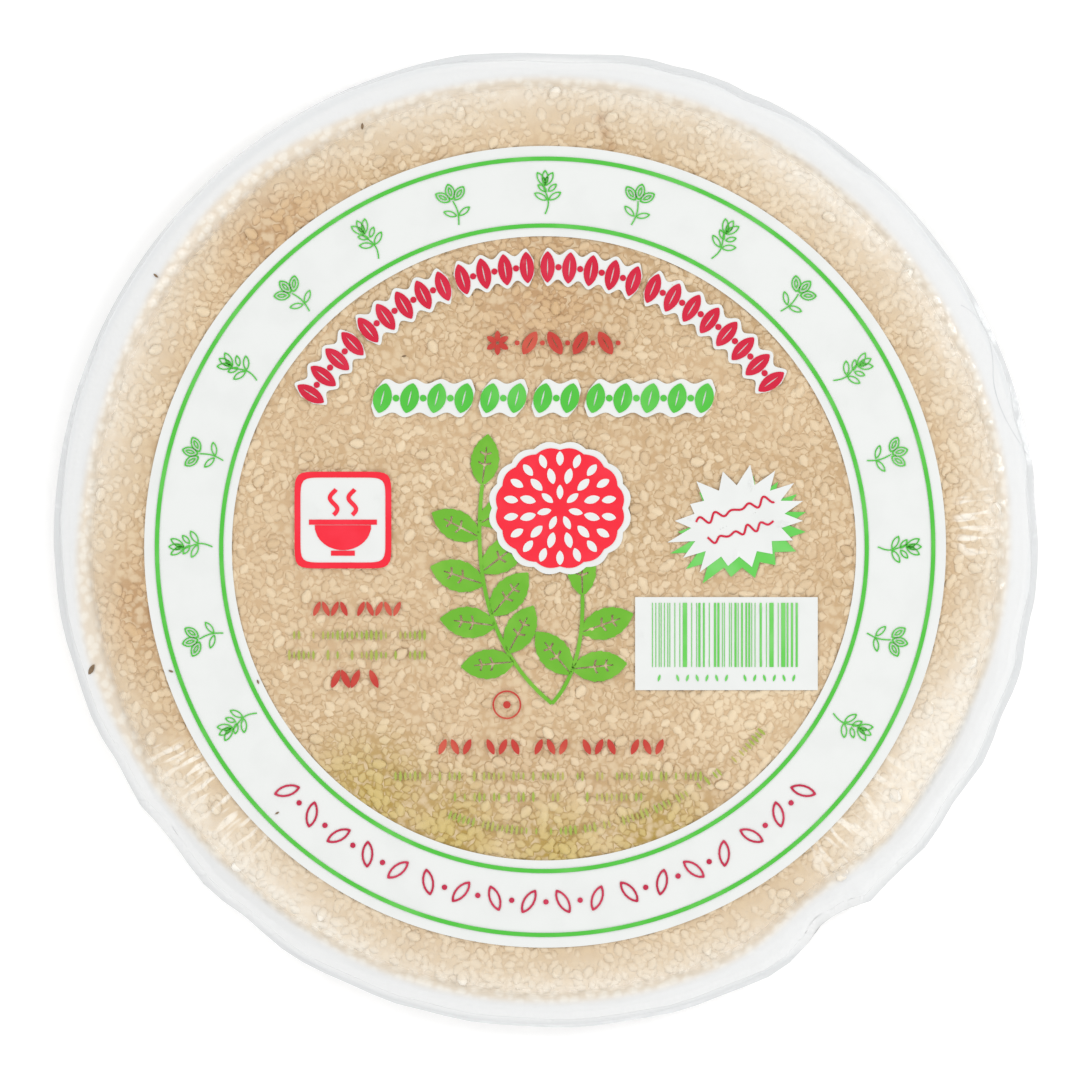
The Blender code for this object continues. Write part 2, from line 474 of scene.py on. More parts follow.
def crinkle(place):
    """How far the slack film lies below the solid's form. Creases stand up from it."""
    radius = place.xy.length
    slack = smooth_step(SLACK_START, SLACK_FULL, radius) * smooth_step(0.0, 0.004, place.z)
    slack *= 1 - smooth_step(TAUT_START, TAUT_FULL, radius)
    if slack == 0.0:
        return 0.0
    around = place.xy.to_3d() / radius
    wave = 0.5 + 0.5 * noise.noise(WAVES_ROUND * around + Vector((0, 0, radius / WAVE_WIDTH)))
    crease = 1 - abs(noise.noise(CREASES_ROUND * around + Vector((7, 0, radius / CREASE_SPACE))))
    return slack * (WAVE_DEPTH * wave - CREASE_HEIGHT * crumple(place) * crease**5)


rest_places = [corner.co.copy() for corner in film.data.vertices]
rest_normals = [corner.normal.copy() for corner in film.data.vertices]
for corner, place, normal in zip(film.data.vertices, rest_places, rest_normals):
    corner.co = place - crinkle(place) * normal
smooth(film, 50)
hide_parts("sealed_pack")
hand_in(film, "clear_film")

# %% [markdown]
# The film is nearly invisible over the window, where it touches the seeds. It turns milky over the rim of
# the sheets, and milkier still past their edge, where it stands free. How milky is worked out for every
# point of the mesh and kept there as an attribute, which the material reads for its alpha. A second
# attribute says where the film stands free: there it is a plain cool grey, with a darker grey at the seal
# that is painted shade, and elsewhere it is warm, with pale spots for the seeds that it clings to. Real
# glass would bend every ray and slow the render, and a film this thin bends nothing. Low roughness gives
# the glints, and fine bumps of the seeds' size break them up.

# %% Note how milky the film is
CLEAR_ALPHA = 0.04
SHEET_ALPHA = 0.23  # over the rim of the sheets
RIM_ALPHA = 0.90  # past the sheets' edge
WALL_ALPHA = 0.50  # the film below the seal is clearer, and shows the edges of the sheets
WALL_TOP = 0.0085
WALL_FOOT = 0.0060
HAZE_START = 0.0940
HAZE_FULL = 0.1040
EDGE_START = 0.1058
EDGE_FULL = 0.1090
FREE_START = 0.1070
FREE_FULL = 0.1110
# Where the film's tone turns a darker grey at the seal, as painted shade.
SEAL_START = 0.1130
SEAL_FULL = 0.1152
TUCK_DIRECTION = -53  # the sheets and the film are tucked in here
TUCK_WIDTH = 9
TUCK_DEPTH = 0.0035
HAZE_UNEVEN = 0.0020
EDGE_UNEVEN = 0.0006
FREE_DRIFT = 0.3  # of the haze's drift
# Stretches of the rim by direction and width in degrees, where the haze reaches further in or less far.
RIM_SHIFTS = (
    (50, 12, 0.0030),
    (8, 16, -0.0015),
    (132, 17, -0.0085),
    (192, 16, -0.0085),
    (230, 14, 0.0040),
    (330, 13, 0.0090),
)


def tuck(angle):
    """How far the rim is drawn in at an angle."""
    return TUCK_DEPTH * bell(angle, TUCK_DIRECTION, TUCK_WIDTH)


def drift(angle):
    """How far the haze reaches further in at an angle."""
    return sum(shift * bell(angle, direction, width) for direction, width, shift in RIM_SHIFTS)


def milkiness(place):
    """The film's alpha at a place: clear over the window, milky over the slack rim, unevenly so."""
    radius = place.xy.length
    angle = bearing(place)
    uneven = noise.noise(7 * place.xy.to_3d() / max(radius, HAZE_START))
    haze = smooth_step(HAZE_START, HAZE_FULL, radius + drift(angle) + HAZE_UNEVEN * uneven)
    beyond = smooth_step(EDGE_START, EDGE_FULL, radius + tuck(angle) + EDGE_UNEVEN * uneven)
    over_sheets = CLEAR_ALPHA + (SHEET_ALPHA - CLEAR_ALPHA) * haze
    free = WALL_ALPHA + (RIM_ALPHA - WALL_ALPHA) * smooth_step(WALL_FOOT, WALL_TOP, place.z)
    return over_sheets + (free - over_sheets) * beyond


def freedom(place):
    """0 where the film lies on the sheets, 1 where it stands free, and 2 at the seal, whose darker tone is
    painted shade.
    """
    radius = place.xy.length
    angle = bearing(place)
    shifted = radius + tuck(angle) + FREE_DRIFT * drift(angle)
    return smooth_step(FREE_START, FREE_FULL, shifted) + smooth_step(SEAL_START, SEAL_FULL, radius)


def note(piece, label, values):
    """Keeps a number at each of a piece's points."""
    kept = piece.data.attributes.new(label, "FLOAT", "POINT")
    kept.data.foreach_set("value", values)


note(film, "haze", [milkiness(corner.co) for corner in film.data.vertices])
note(film, "freedom", [freedom(corner.co) for corner in film.data.vertices])

# %% The film's material
def film_finish():
    """Film that is warm and spotted where it clings to the seeds, and cool and plain where it stands free.
    At the seal its grey is darker: a painted shade of the fold there.
    """
    look = Recipe("clear_film", 0.12, IOR=1.5)
    free = look.attribute("freedom")
    cells = look.plus(look.cells(0.0026), look.times(look.noise(0.0016), 0.5))
    tone = look.mix(look.ramp(cells, 0.40, 0.85, 1.0, 0.0), seen(236, 223, 204), seen(248, 240, 226))
    tone = look.mix(look.ramp(free, 0.0, 1.0), tone, seen(237, 238, 238))
    # A darker grey at the seal: painted shade of the film's fold at its edge.
    tone = look.mix(look.ramp(free, 1.0, 2.0), tone, seen(229, 231, 232))
    clinging = look.times(cells, look.ramp(free, 0.0, 1.0, 1.0, 0.0))
    ripples = look.bump(look.plus(clinging, look.noise(0.004)), 0.0004, 0.5)
    return look.finish(Base_Color=tone, Alpha=look.attribute("haze"), Normal=ripples)


film.data.materials.clear()
film.data.materials.append(film_finish())
print("the film's alpha runs from", CLEAR_ALPHA, "to", RIM_ALPHA)

# %% [markdown]
# ## The sheets
#
# Rice papers are thin, brittle and never quite flat. The film presses the stack together at the rim, so each
# sheet keeps its own share of the space between the film's two skins. A flat disc is turned and filled, every
# point is moved to its share of the height by casting a ray up and a ray down, and a Solidify gives the
# thickness. The ten sheets are ten objects, as in the pack.

# %% Press ten sheets between the film's skins
SHEET_COUNT = 10
SHEET_RADIUS = 0.110
SHEET_THICKNESS = 0.0009
TOP_GAP = 0.0004
BOTTOM_GAP = 0.0004
RIM_START = 0.085  # from here out a sheet is drawn in at the tuck and is uneven
RIM_UNEVEN = 0.0009
DROOP_START = 0.102
RIM_DROOP = 0.0003  # at its edge a sheet lies this much lower under the film
SHEET_RINGS = (0.080, 0.088, 0.094, 0.099, 0.103, 0.106, 0.108, 0.1094, SHEET_RADIUS)
TOP_SECTORS = 240
SECTORS = 160


def press(piece, share, number):
    """Moves the points of a flat disc to their share of the height between the film's two skins."""
    for corner in piece.data.vertices:
        flat = corner.co.copy()
        radius = flat.xy.length
        if radius > 0:
            around = flat.xy.to_3d() / radius
            uneven = RIM_UNEVEN * noise.noise(9 * around + Vector((0, 0, 3.7 * number)))
            inwards = tuck(bearing(flat)) + uneven
            flat -= around * smooth_step(RIM_START, SHEET_RADIUS, radius) * inwards
        middle = Vector((flat.x, flat.y, SEAL_HEIGHT))
        _, top, _, _ = film.ray_cast(middle, (0, 0, 1))
        _, bottom, _, _ = film.ray_cast(middle, (0, 0, -1))
        lowest = bottom.z + BOTTOM_GAP + 0.5 * SHEET_THICKNESS
        droop = RIM_DROOP * smooth_step(DROOP_START, SHEET_RADIUS, radius)
        highest = top.z - TOP_GAP - droop - 0.5 * SHEET_THICKNESS
        corner.co = Vector((flat.x, flat.y, lowest + share * (highest - lowest)))


def sheet(number):
    """One rice paper of the stack, counted from below."""
    sectors = TOP_SECTORS if number == SHEET_COUNT - 1 else SECTORS
    piece = turned(f"sheet_{number}", [(radius, 0.0) for radius in SHEET_RINGS], sectors)
    fill_hole(piece, SHEET_RINGS[0], 0.0, sectors // 4)
    press(piece, number / (SHEET_COUNT - 1), number)
    with editing(piece, "FACE"):
        bpy.ops.mesh.select_all(action="SELECT")
        bpy.ops.mesh.normals_make_consistent(inside=False)
    if piece.data.polygons[0].normal.z < 0:
        piece.data.flip_normals()
    apply_modifier(piece, "SOLIDIFY", thickness=SHEET_THICKNESS, offset=0.0)
    put_in_order(piece)
    smooth(piece, 60)
    hand_in(piece, "rice_paper")
    return piece


bpy.context.view_layer.update()
sheets = [sheet(number) for number in range(SHEET_COUNT)]
top_sheet = sheets[-1]
stack_top = max(corner.co.z for corner in top_sheet.data.vertices)
print("the stack's top in millimetres:", round(1000 * stack_top, 2))

# %% [markdown]
# Dried rice paste is tan and slightly translucent, so deeper seeds show in it as pale blurred spots. The
# colours are layered, one stretch over the other: browner at the upper left, yellower at the window's foot,
# lighter at the right, creamy towards the rim, a crack at the top, white at the edge, and last the film's
# folds, painted on the paper as pale streaks that run outwards: partly the folds' milkiness, and partly
# painted highlights where they catch the light. Folds made as form would cost a finer film, and from above
# only their pale lines would show. The seeds are partly coated with the same paste, so one recipe serves
# both, and their edges melt into it.

# %% The rice paper's material
CREAM_START = 0.0918
CREAM_FULL = 0.1058
WHITE_START = 0.1030
WHITE_FULL = 0.1115
FOLD_GLINTS_START = 0.0950
FOLD_GLINTS_FULL = 0.1000
FOLD_GLINT_LENGTH = 0.009
FOLD_GLINT_CROWDING = 0.42  # how much more closely the folds lie side by side than end to end
RIM_MIDDLE = 0.102
# Places and reaches of the stretches.
BROWNER = ((0.000, 0.060, 0.030), (-0.064, 0.074, 0.022), (-0.096, -0.016, 0.020))
YELLOWER = (
    (-0.042, -0.062, 0.025),
    (-0.022, -0.070, 0.022),
    (0.002, -0.075, 0.022),
    (0.026, -0.071, 0.022),
)
LIGHTER = ((0.050, -0.036, 0.032),)
CRACKED = ((0.0128, 0.0992, 0.0023), (0.0139, 0.0960, 0.0023), (0.0153, 0.0926, 0.0023))
# Where the film's folds are painted on the paper as milky streaks with painted highlights.
MILKY_FOLD_GLINTS = (
    (0.080, -0.066, 0.030),
    (0.098, -0.052, 0.022),
    (-0.082, -0.062, 0.028),
    (0.104, 0.004, 0.014),
)


def stretches(look):
    """Where the paste is browner, yellower, lighter, creamy, cracked and white, and where the film's folds are
    painted on it as pale streaks, partly milkiness and partly painted highlight, from 0 to 1.
    """
    reach = look.plus(look.apart(0, 0), look.times(look.noise(0.020), 0.004))
    for direction, width, shift in RIM_SHIFTS:
        middle = RIM_MIDDLE * towards(math.radians(direction))
        stretch = look.near((middle.x, middle.y, 1.7 * RIM_MIDDLE * math.radians(width)))
        reach = look.plus(reach, look.times(stretch, shift))
    outwards = look.vectors("NORMALIZE", look.flat).outputs[0]
    drawn_out = look.vectors("MULTIPLY_ADD", outwards, (FOLD_GLINT_CROWDING,) * 3, look.flat).outputs[0]
    # Pale streaks along the folds, painted on the paper and seeds: part milkiness, part painted highlight.
    fold_glints = look.ramp(look.noise(FOLD_GLINT_LENGTH, 1.0, drawn_out), 0.50, 0.66)
    fold_glints = look.times(fold_glints, look.ramp(look.near(*MILKY_FOLD_GLINTS), 0.0, 0.6))
    return (
        look.times(look.near(*BROWNER), 0.8),
        look.near(*YELLOWER),
        look.times(look.near(*LIGHTER), 0.8),
        look.ramp(reach, CREAM_START, CREAM_FULL),
        look.times(look.near(*CRACKED), 0.8),
        look.ramp(reach, WHITE_START, WHITE_FULL),
        look.times(fold_glints, look.ramp(reach, FOLD_GLINTS_START, FOLD_GLINTS_FULL)),
    )


# %% Lay its tones one over the other
PASTE_TONES = (  # in the order of the stretches
    (182, 140, 94),
    (173, 142, 54),
    (216, 188, 150),
    (225, 206, 177),
    (176, 136, 92),
    (246, 239, 227),
    # the film's folds: their milkiness and painted highlights
    (252, 245, 232),
)


def layered(look, colour, shares, tones):
    """A colour under other tones, which are laid over it one after the other."""
    for share, tone in zip(shares, tones):
        colour = look.mix(share, colour, seen(*tone))
    return colour


def paste(look, shares):
    """The paste between the seeds and over them."""
    patches = look.ramp(look.noise(0.045, 3.0), 0.35, 0.65)
    plain_paste = look.mix(patches, seen(194, 161, 117), seen(206, 175, 135))
    return layered(look, plain_paste, shares, PASTE_TONES)


def paper_finish():
    """Dried paste with two sizes of pale spots, which are fainter towards the rim."""
    look = Recipe("rice_paper", 0.42, Specular_IOR_Level=0.35)
    shares = stretches(look)
    creamy = shares[3]
    fray = look.times(look.noise(0.0016, 1.0), 0.5)
    large_spots = look.ramp(look.plus(look.cells(0.0030), fray), 0.40, 0.80, 0.65, 0.0)
    small_spots = look.ramp(look.plus(look.cells(0.0021), fray), 0.40, 0.75, 0.45, 0.0)
    spots = look.math("MAXIMUM", large_spots, small_spots)
    shown = look.times(spots, look.ramp(creamy, 0.0, 1.0, 1.0, 0.3))
    colour = look.mix(shown, paste(look, shares), seen(230, 209, 174))
    return look.finish(Base_Color=colour, Normal=look.bump(spots, 0.0004, 0.35))


paper_material = paper_finish()
for piece in sheets:
    piece.data.materials.append(paper_material)
print("nodes in the paper's recipe:", len(paper_material.node_tree.nodes))

# %% [markdown]
# ## The sesame seeds
#
# Thousands of seeds lie in the top sheet, each a flat drop about 3 mm long. One seed is modelled by hand
# from a sphere: squashed, and drawn in at one end. Geometry Nodes then scatter it, because they keep the
# seeds apart, turn each at random and lay it along the sheet. The instances are realized into one mesh, and
# each seed keeps a random tone of its own in an attribute. The waterline, a second one, says how far up the
# paste coats it.

# %% Model one seed
SEED_LENGTH = 0.0033
SEED_WIDTH = 0.0026
SEED_DEPTH = 0.0006


def make_seed():
    """A flat drop along X, with its middle at the origin."""
    bpy.ops.object.select_all(action="DESELECT")
    bpy.ops.mesh.primitive_uv_sphere_add(segments=6, ring_count=4, radius=0.5)
    drop = bpy.context.object
    drop.rotation_euler.z = math.radians(30)  # now the widest points will lie level
    settle(drop, "seed")
    drop.rotation_euler.y = math.radians(90)
    settle(drop, "seed")
    drop.scale = (SEED_LENGTH, SEED_WIDTH, SEED_DEPTH / math.cos(math.radians(30)))
    settle(drop, "seed")
    with editing(drop) as pick:
        for start, growth in ((0.05, 0.92), (0.30, 0.80)):
            pick(lambda corner: corner.co.x > start * SEED_LENGTH)
            bpy.ops.transform.resize(value=(1, growth, growth), center_override=(0, 0, 0))
    note(drop, "dome", [2 * corner.co.z / SEED_DEPTH for corner in drop.data.vertices])
    bpy.ops.object.shade_smooth()
    return drop


seed = make_seed()
print("seed faces:", len(seed.data.polygons))

# %% The seed's material
HULL_TONES = (  # in the order of the paste's stretches
    (214, 176, 126),
    (212, 189, 116),
    (240, 221, 188),
    (236, 221, 196),
    (196, 158, 112),
    (247, 242, 232),
    # the film's folds: their milkiness and painted highlights
    (252, 246, 235),
)


def seed_finish():
    """Hull above the waterline and paste below it, with a thin painted shade where they meet."""
    look = Recipe("sesame", 0.38, Specular_IOR_Level=0.4)
    shares = stretches(look)
    plain_hull = look.mix(look.attribute("tone"), seen(214, 185, 145), seen(236, 215, 181))
    hull = layered(look, plain_hull, shares, HULL_TONES)
    waterline = look.attribute("waterline")
    above = look.math("SUBTRACT", look.attribute("dome"), waterline)
    bare = look.ramp(waterline, 0.25, 0.80, 0.95, 0.60)
    shown = look.times(look.ramp(above, 0.0, 0.30), bare)
    coated = look.mix(shown, paste(look, shares), hull)
    proud = look.ramp(waterline, 0.20, 0.36, 1.0, 0.0)
    # Painted shade: a thin dark band at the waterline of proud seeds, for the contact shadow round them.
    painted_contact_shade = look.times(look.ramp(above, 0.0, 0.10, 0.22, 0.0), proud)
    return look.finish(Base_Color=look.mix(painted_contact_shade, coated, seen(176, 142, 100)))


seed.data.materials.append(seed_finish())

# %% Scatter it over a sheet
RING_CENTRE = spot(-0.0002, -0.0016)
RING_INNER = 0.0735
RING_OUTER = 0.0944
SEED_SPACE = 0.00135  # between the middles of seeds, at least
EDGE_SEED_SPACE = 0.0026
UNDER_INNER = 0.0025  # seeds run on under the ring, at its inner edge and at its outer one
UNDER_OUTER = 0.0030
SEEDS_REACH = 0.1086
EDGE_SEEDS_FROM = 0.1040
EDGE_SEEDS_REACH = SEEDS_REACH + 0.0002
LEAST_SUNK = 0.30  # a seed's middle lies under the sheet's face, by this share of its half depth or more
MOST_SUNK = 0.80
SMALLEST = 0.85  # of a common seed
LARGEST = 1.20
THINNEST = 0.35  # of the full crowd of seeds, where the paste is nearly bare
THIN_BELOW = 0.35  # of the cloud that thins them out
FULL_ABOVE = 0.55
CLOUDS_PER_METRE = 55.0
TRIES = 1.2e6  # for a square metre, before those that are too close go


def scatter(name, sheet_piece, spacing, keep_from, keep_to, number, side=1.0):
    """Seeds in a sheet's upper or lower side as one mesh, between two radii and no closer than the spacing.
    The random draws are counted from the number."""
    tree = bpy.data.node_groups.new(name, "GeometryNodeTree")
    for way in ("INPUT", "OUTPUT"):
        tree.interface.new_socket("Geometry", in_out=way, socket_type="NodeSocketGeometry")

    def out(kind, links=(), output=0, **settings):
        return add_node(tree, kind, links, **settings).outputs[output]

    def compare(value, operation, limit):
        return out("FunctionNodeCompare", {0: value, 1: limit}, operation=operation)

    def both(first, second):
        return out("FunctionNodeBooleanMath", {0: first, 1: second}, operation="AND")

    def drawn(low, high, draw_number):
        limits = {2: low, 3: high, "Seed": draw_number}
        return out("FunctionNodeRandomValue", limits, 1, data_type="FLOAT")

    ground = out("GeometryNodeObjectInfo", {"Object": sheet_piece}, "Geometry")
    grain = out("GeometryNodeObjectInfo", {"Object": seed, "As Instance": True}, "Geometry")
    place = out("GeometryNodeInputPosition")
    flat = out("ShaderNodeVectorMath", {0: place, 1: (1, 1, 0)}, operation="MULTIPLY")
    radius = out("ShaderNodeVectorMath", {0: flat}, "Value", operation="LENGTH")
    inside = both(compare(radius, "GREATER_THAN", keep_from), compare(radius, "LESS_THAN", keep_to))
    rise = out("ShaderNodeSeparateXYZ", {0: out("GeometryNodeInputNormal")}, "Z")
    rise_on_side = out("ShaderNodeMath", {0: rise, 1: side}, operation="MULTIPLY")
    chosen = both(compare(rise_on_side, "GREATER_THAN", 0.5), inside)
    cloud = out("ShaderNodeTexNoise", {"Vector": flat, "Scale": CLOUDS_PER_METRE, "Detail": 1.0})
    links = {"Value": cloud, "From Min": THIN_BELOW, "From Max": FULL_ABOVE, "To Min": THINNEST}
    crowd = out("ShaderNodeMapRange", links)
    links = {"Mesh": ground, "Selection": chosen, "Density Factor": crowd, "Seed": number}
    links |= {"Distance Min": spacing, "Density Max": TRIES}
    points = add_node(tree, "GeometryNodeDistributePointsOnFaces", links, distribute_method="POISSON")

    spin = out("ShaderNodeCombineXYZ", {"Z": drawn(0.0, 2 * math.pi, number + 1)})
    links = {0: points.outputs["Rotation"], 1: out("FunctionNodeEulerToRotation", {0: spin})}
    lying = out("FunctionNodeRotateRotation", links, rotation_space="LOCAL")
    links = {"Points": points.outputs[0], "Instance": grain, "Rotation": lying}
    links |= {"Scale": drawn(SMALLEST, LARGEST, number + 2)}
    placed = out("GeometryNodeInstanceOnPoints", links)
    sunk = drawn(LEAST_SUNK, MOST_SUNK, number + 3)
    fall = out("ShaderNodeMath", {0: sunk, 1: -0.5 * SEED_DEPTH}, operation="MULTIPLY")
    depth = out("ShaderNodeCombineXYZ", {"Z": fall})
    noted = out("GeometryNodeTranslateInstances", {0: placed, "Translation": depth})
    for label, value in (("waterline", sunk), ("tone", drawn(0.0, 1.0, number + 4))):
        links = {0: noted, "Name": label, "Value": value}
        noted = out("GeometryNodeStoreNamedAttribute", links, data_type="FLOAT", domain="INSTANCE")
    add_node(tree, "NodeGroupOutput", {0: out("GeometryNodeRealizeInstances", {0: noted})})

    seeds = bpy.data.objects.new(name, bpy.data.meshes.new(name))
    bpy.context.scene.collection.objects.link(seeds)
    apply_modifier(seeds, "NODES", node_group=tree)
    bpy.data.node_groups.remove(tree)
    hand_in(seeds, "sesame")
    return seeds


# %% Scatter the seeds
scatter("seeds_window", top_sheet, SEED_SPACE, -1.0, RING_INNER + UNDER_INNER, 11)
scatter("seeds_margin", top_sheet, SEED_SPACE, RING_OUTER - UNDER_OUTER, SEEDS_REACH, 21)
scatter("seeds_back", sheets[0], 2 * SEED_SPACE, -1.0, SEEDS_REACH, 31, side=-1.0)
edge_seeds = []
for number, piece in enumerate(sheets[:-1]):
    name = f"seeds_edge_{number}"
    reach = (EDGE_SEEDS_FROM, EDGE_SEEDS_REACH)
    edge_seeds.append(scatter(name, piece, EDGE_SEED_SPACE, *reach, 41 + 10 * number))
join(edge_seeds, "seeds_edge")

# %% [markdown]
# ### Raised seeds
#
# The largest seeds lie on top of the sheet and lift the film. They stand where the solid has its bumps, and
# follow the same rule: a spiral at the golden angle, with a seeded random shift.

# %% Lay the largest seeds under the film's bumps
RAISED_COUNT = 200
RAISED_REACH = 0.1065
RAISED_JITTER = 0.0020
RAISED_SIZE = 1.12  # of a common seed
RAISED_CLEARANCE = 0.00015  # between a seed's top and the film
RAISED_WATERLINE = -0.3  # they stand clear of the paste
PRINT_MARGIN = 0.0024  # none is this close to the printed ring
RULE_RING_CENTRE = spot(-0.0004, -0.0013)
RULE_RING_INNER = 0.0738
GOLDEN_ANGLE = math.pi * (3 - math.sqrt(5))
DRAWING_HEIGHT = 0.030  # well above the pack
SOLID_SHIFT = spot(0.00022, -0.00028)  # from the rule's middle to the middle of the frame
raised_draw = random.Random(22)


def raised_places():
    """The solid's own bumps, each with a turn."""
    for number in range(RAISED_COUNT):
        radius = RAISED_REACH * math.sqrt((number + 0.5) / RAISED_COUNT)
        radius += raised_draw.uniform(-0.5, 0.5) * RAISED_JITTER
        angle = number * GOLDEN_ANGLE
        place = spot(radius * math.cos(angle), radius * math.sin(angle))
        from_ring = (place - RULE_RING_CENTRE).length
        if from_ring < RULE_RING_INNER - PRINT_MARGIN or from_ring > RING_OUTER + PRINT_MARGIN:
            yield place + SOLID_SHIFT, raised_draw.uniform(0, 2 * math.pi)


def under_film(place, clearance):
    """The point of the film's top skin over a place, lowered by a clearance."""
    _, top, _, _ = film.ray_cast(Vector((place.x, place.y, DRAWING_HEIGHT)), (0, 0, -1))
    return top - Vector((0.0, 0.0, clearance))


below_film = RAISED_CLEARANCE + 0.5 * RAISED_SIZE * SEED_DEPTH
raised = [(under_film(place, below_film), turn, RAISED_SIZE) for place, turn in raised_places()]
seed_corners = len(seed.data.vertices)
seeds_raised = join(copies(seed, raised), "seeds_raised")
note(seeds_raised, "waterline", [RAISED_WATERLINE] * len(seeds_raised.data.vertices))
tones = [raised_draw.random() for _ in raised]
note(seeds_raised, "tone", [tone for tone in tones for _ in range(seed_corners)])
hand_in(seeds_raised, "sesame")

# %% [markdown]
# ## The print
#
# The marks are printed on the film's outer face. A picture would be the quick way, but it would follow no
# dent and hold nothing that can be changed. Here each ink is a real layer: its marks are drawn flat above
# the pack and joined, a Shrinkwrap drops them on the film, and a Solidify gives them a thickness. Where such
# a pack carries words and pictures, this one has plain ornaments: rows of grains, leaves and beads.

# %% Helpers for flat marks
INK_THICKNESS = 0.00005
UNDER_LIFT = 0.00010  # heights over the film, one for each layer of ink
WHITE_LIFT = 0.00022
COLOUR_LIFT = 0.00036
DROPS_LIFT = COLOUR_LIFT + 0.00007


def between(name, inner, outer, steps, sectors):
    """A flat band of quads between two closed outlines. An outline is a function from a turn to a point."""
    rings = [1.0 + step / steps for step in range(steps + 1)]
    mark = turned(name, [(ring, 0.0) for ring in rings], sectors)
    for corner in mark.data.vertices:
        turn = bearing(corner.co)
        corner.co = inner(turn).lerp(outer(turn), corner.co.xy.length - 1.0)
    return mark


def filled(name, outline, steps, sectors):
    """A flat mark of quads inside a closed outline."""
    rings = [0.4 + 0.6 * step / steps for step in range(steps + 1)]
    mark = turned(name, [(ring, 0.0) for ring in rings], sectors)
    fill_hole(mark, rings[0], 0.0, sectors // 4)
    for corner in mark.data.vertices:
        corner.co = corner.co.xy.length * outline(bearing(corner.co))
    return mark


def patch(name, along, across, rule, left_out=None):
    """A flat grid of quads. The rule places a point from its shares of the length and of the width."""
    bpy.ops.object.select_all(action="DESELECT")
    bpy.ops.mesh.primitive_grid_add(
        x_subdivisions=along,
        y_subdivisions=across,
        size=1,
        location=(0.5, 0.5, 0),
    )
    mark = settle(bpy.context.object, name)
    if left_out:
        with editing(mark, "FACE") as pick:
            pick(lambda face: left_out(*face.calc_center_median().xy))
            bpy.ops.mesh.delete(type="FACE")
    for corner in mark.data.vertices:
        corner.co = rule(corner.co.x, corner.co.y)
    return mark


def ribbon(name, path, width, steps):
    """A flat strip of one width along a path, which is a function from a share to a point."""

    def rule(share, side):
        ahead = path(share + 0.01) - path(share - 0.01)
        return path(share) + (side - 0.5) * width * spot(-ahead.y, ahead.x).normalized()

    return patch(name, steps, 1, rule)


# %% Helper for printing
def print_on_film(name, marks, lift, material, slot):
    """Joins flat marks, drops them on the film and gives them the thickness of ink."""
    layer = join(marks, name)
    layer.location.z = DRAWING_HEIGHT
    settle(layer, name)
    with editing(layer, "FACE") as pick:
        pick(lambda face: face.normal.z < 0)
        bpy.ops.mesh.flip_normals()
    apply_modifier(
        layer,
        "SHRINKWRAP",
        target=film,
        wrap_method="PROJECT",
        use_project_z=True,
        use_positive_direction=False,
        use_negative_direction=True,
        offset=lift,
    )
    apply_modifier(layer, "SOLIDIFY", thickness=INK_THICKNESS, offset=-1.0)
    smooth(layer, 40)
    layer.data.materials.append(material)
    hand_in(layer, slot)


# %% [markdown]
# Printing ink is glossy and even, but never quite: it lies a little thicker here and thinner there, and it
# picks up fine scuffs. One recipe serves all the inks, with two tones each and a faint bump.

# %% The inks
def ink(name, tone, thin_tone):
    """Glossy ink with thinner patches and fine scuffs."""
    look = Recipe(name, 0.30, Specular_IOR_Level=0.2)
    thin = look.ramp(look.noise(0.010, 3.0), 0.40, 0.75)
    colour = look.mix(thin, tone, thin_tone)
    return look.finish(Base_Color=colour, Normal=look.bump(look.noise(0.003), 0.0001, 0.3))


white_ink = ink("white_ink", seen(231, 233, 231), seen(228, 230, 228))
green_ink = ink("green_ink", seen(82, 192, 66), seen(100, 200, 84))
pale_green_ink = ink("pale_green_ink", seen(104, 204, 88), seen(124, 210, 110))
leaf_ink = ink("leaf_ink", seen(108, 180, 50), seen(122, 188, 62))
faint_ink = ink("faint_ink", seen(160, 178, 78), seen(190, 180, 104))
red_ink = ink("red_ink", seen(240, 42, 60), seen(243, 52, 70))
deep_red_ink = ink("deep_red_ink", seen(207, 34, 62), seen(214, 48, 74))
wine_ink = ink("wine_ink", seen(190, 44, 74), seen(204, 62, 90))
thin_red_ink = ink("thin_red_ink", seen(194, 64, 56), seen(206, 92, 74))
print("nodes in an ink:", len(white_ink.node_tree.nodes))

# %% [markdown]
# ### The ring
#
# A broad white ring frames the window, with a thin green line near each edge. Each is a plain band between
# two circles. The ring's middle lies a little below the pack's, and the window's still lower and to the left.

# %% Print the ring and its lines
WINDOW_CENTRE = RING_CENTRE + spot(-0.00026, -0.00036)  # the film has drawn it aside
LINE_WIDTH = 0.00098
INNER_LINE = 0.0760
OUTER_LINE = 0.0914


def circle(radius, middle=RING_CENTRE):
    """A circular outline."""
    return lambda turn: middle + radius * towards(turn)


def line_band(name, radius, middle):
    """A thin circular line."""
    half = 0.5 * LINE_WIDTH
    return between(name, circle(radius - half, middle), circle(radius + half, middle), 1, 360)


ring = between("ring", circle(RING_INNER, WINDOW_CENTRE), circle(RING_OUTER), 16, 360)
print_on_film("print_ring", [ring], UNDER_LIFT, white_ink, "white_print")
inner_line = line_band("inner_line", INNER_LINE, WINDOW_CENTRE)
outer_line = line_band("outer_line", OUTER_LINE, RING_CENTRE)
print_on_film("print_ring_lines", [inner_line, outer_line], COLOUR_LIFT, green_ink, "green_print")

# %% [markdown]
# ### Sprigs on the ring
#
# Seventeen small line drawings stand on the ring, a sprig and a cluster of seeds in turn. Every line is a
# thin band between two pointed ovals. A sprig is put together once from a few leaves, and then copied round
# the ring. Its leaves fan out from points on its stalk.

